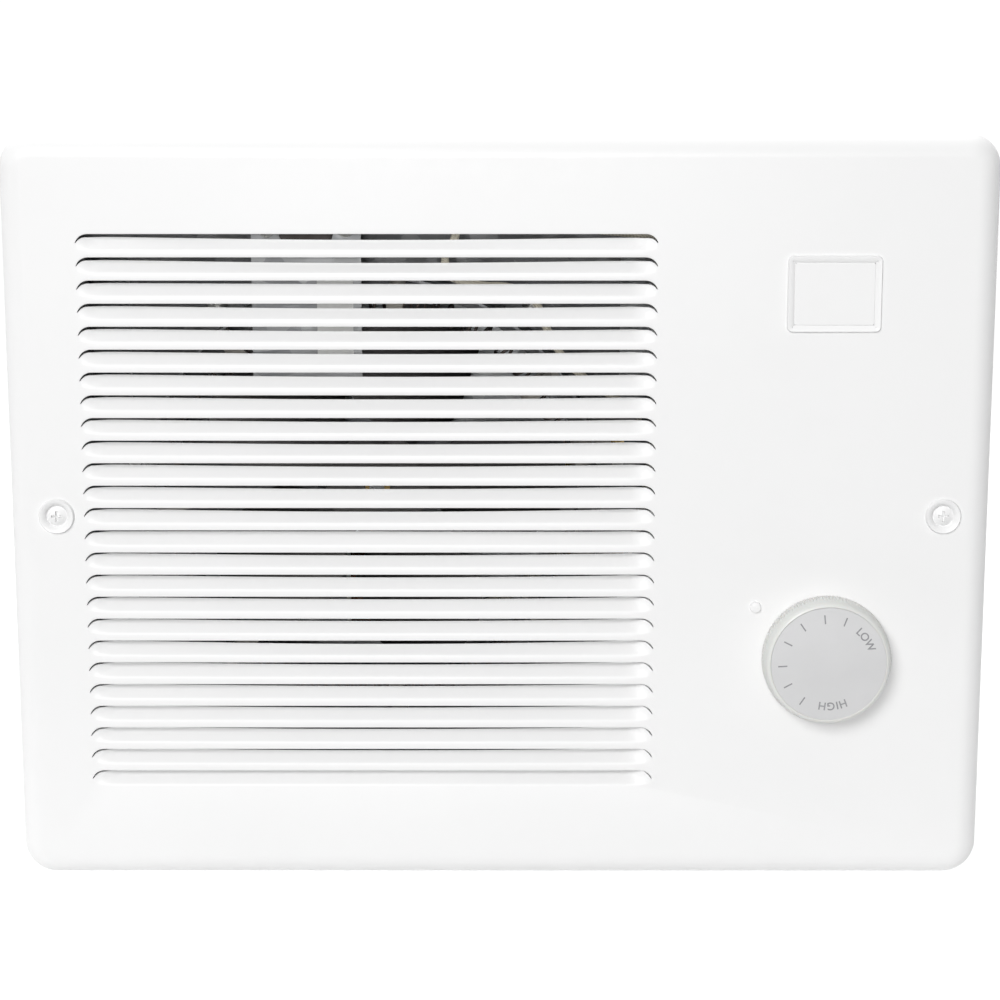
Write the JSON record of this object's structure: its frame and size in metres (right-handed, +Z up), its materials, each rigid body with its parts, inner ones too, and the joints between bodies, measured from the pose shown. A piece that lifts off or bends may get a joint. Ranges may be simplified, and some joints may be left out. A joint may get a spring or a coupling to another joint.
{
  "type": "bathroom wall fan heater",
  "caption": "Recessed bathroom wall fan heater: louvred white grille with thermostat dial over a steel can with fan, heating coil and motor.",
  "frame": {"origin": "centre of the four wall tab holes, on the wall plane", "axes": "+X to the right seen from the room, +Y into the wall, +Z up"},
  "size_m": [0.3048, 0.1176, 0.235],
  "materials": {
    "white_paint": "satin white enamel",
    "nameplate": "smooth pale blue-white, bare",
    "knob_plastic": "moulded warm white, knurled",
    "knob_inlay": "satin grey disc",
    "galvanised_steel": "galvanised sheet",
    "zinc_plated_steel": "zinc plated",
    "bright_steel": "ground",
    "phenolic": "moulded phenolic",
    "brass": "plain",
    "bronze": "sintered",
    "green_plating": "green dyed zinc",
    "rubber": "black",
    "resistance_wire": "oxidised nickel-chrome wire",
    "ceramic": "glazed steatite",
    "label": "bare coated paper",
    "fan_aluminium": "stamped, dulled by heat",
    "die_cast": "die cast",
    "laminations": "laminated silicon steel",
    "copper": "enamelled copper",
    "nylon": "moulded nylon",
    "light_lead": "woven silicone sleeve",
    "dark_lead": "insulated wire",
    "connector_plastic": "moulded twist-on connector"
  },
  "bodies": {
    "root": {"grille": "white_paint", "nameplate": "nameplate", "grille_screws": "white_paint", "clip_nuts": "zinc_plated_steel", "thermostat_body": "phenolic", "thermostat_bushing": "brass", "thermostat_nut": "brass", "thermostat_terminals": "brass", "thermostat_bracket": "galvanised_steel", "side_screws": "zinc_plated_steel", "housing": "galvanised_steel", "ground_screw": "green_plating", "partition": "galvanised_steel", "partition_screws": "zinc_plated_steel", "grommets": "rubber", "wiring_cover": "galvanised_steel", "deck": "galvanised_steel", "deck_screws": "zinc_plated_steel", "air_collar": "galvanised_steel", "collar_screws": "zinc_plated_steel", "heating_coil": "resistance_wire", "coil_eyelets": "ceramic", "terminal_posts": "ceramic", "terminal_screws": "brass", "terminal_nuts": "brass", "cutout_bracket": "galvanised_steel", "cutout_bracket_screws": "zinc_plated_steel", "thermal_cutout": "phenolic", "cutout_terminals": "brass", "rating_label": "label", "stator_stack": "laminations", "shading_rings": "copper", "bobbin": "nylon", "winding": "copper", "front_bearing_bracket": "die_cast", "rear_bearing_bracket": "die_cast", "bearings": "bronze", "through_screws": "zinc_plated_steel", "through_nuts": "zinc_plated_steel", "motor_bracket": "galvanised_steel", "motor_bracket_screws": "zinc_plated_steel", "element_leads": "light_lead", "motor_leads": "light_lead", "supply_leads": "dark_lead", "wire_connectors": "connector_plastic"},
    "dial": {"knob": "knob_plastic", "knob_inlay": "knob_inlay", "thermostat_shaft": "bright_steel"},
    "fan": {"fan_wheel": "fan_aluminium", "fan_hub": "brass", "motor_shaft": "bright_steel", "rotor": "laminations"}
  },
  "joints": [
    {"name": "knob_turn", "type": "hinge", "parent": "root", "child": "dial", "pos_m": [0.102, 0, -0.045], "axis": [0, 1, 0], "range_deg": [-109, 126]},
    {"name": "fan_spin", "type": "hinge", "parent": "root", "child": "fan", "pos_m": [-0.0405, 0.044, 0], "axis": [0, -1, 0], "continuous": true}
  ]
}
